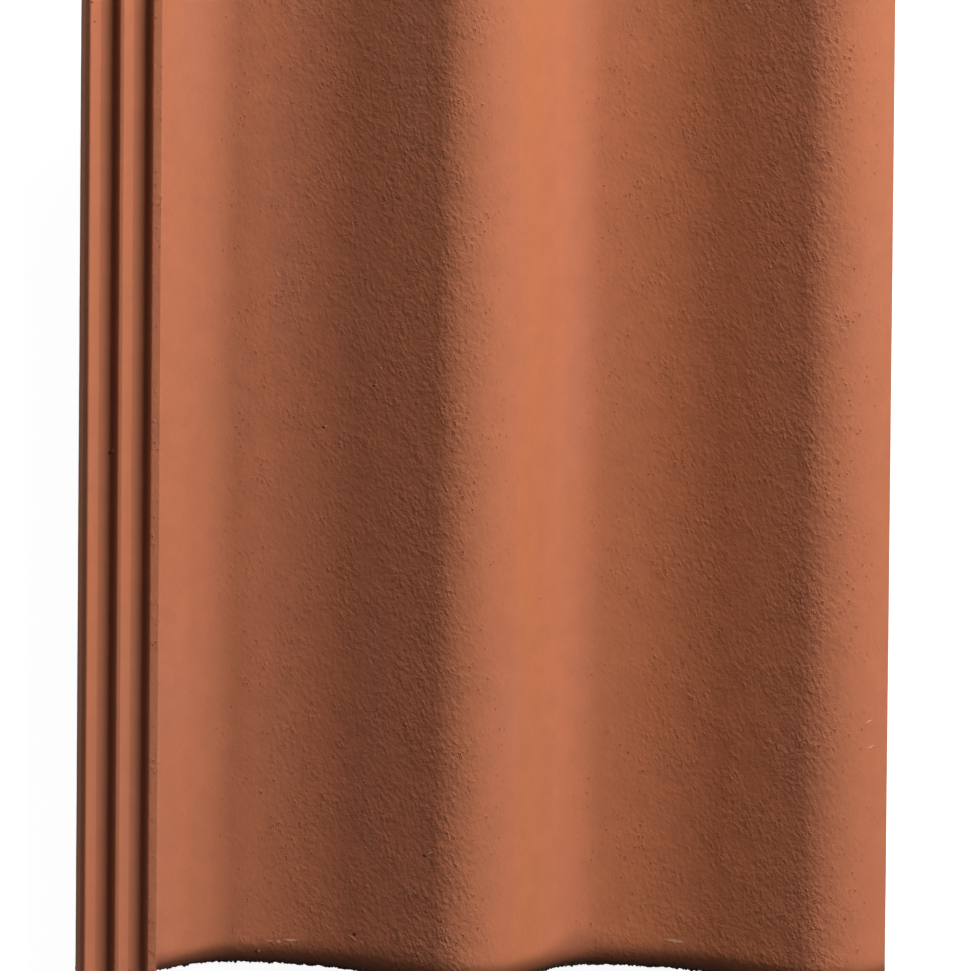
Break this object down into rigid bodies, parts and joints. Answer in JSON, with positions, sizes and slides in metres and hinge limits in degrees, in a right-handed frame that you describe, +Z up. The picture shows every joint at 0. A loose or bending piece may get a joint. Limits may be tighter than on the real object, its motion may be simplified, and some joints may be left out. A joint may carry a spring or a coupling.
{
  "type": "concrete roof tile",
  "caption": "Double-pantile interlocking roof tile of red concrete, with a grooved side lock, a cover roll, a rounded front edge and hanging nibs underneath.",
  "frame": {"origin": "middle of the tile's box, on the floor that it lies on", "axes": "+Y runs up the slope from the front edge to the head, +X from the side lock to the cover roll, +Z up out of the weather face"},
  "size_m": [0.332, 0.4208, 0.0625],
  "materials": {
    "concrete": "matte sanded brick-red through-coloured concrete"
  },
  "bodies": {
    "root": {"roof_tile": "concrete"}
  },
  "joints": []
}
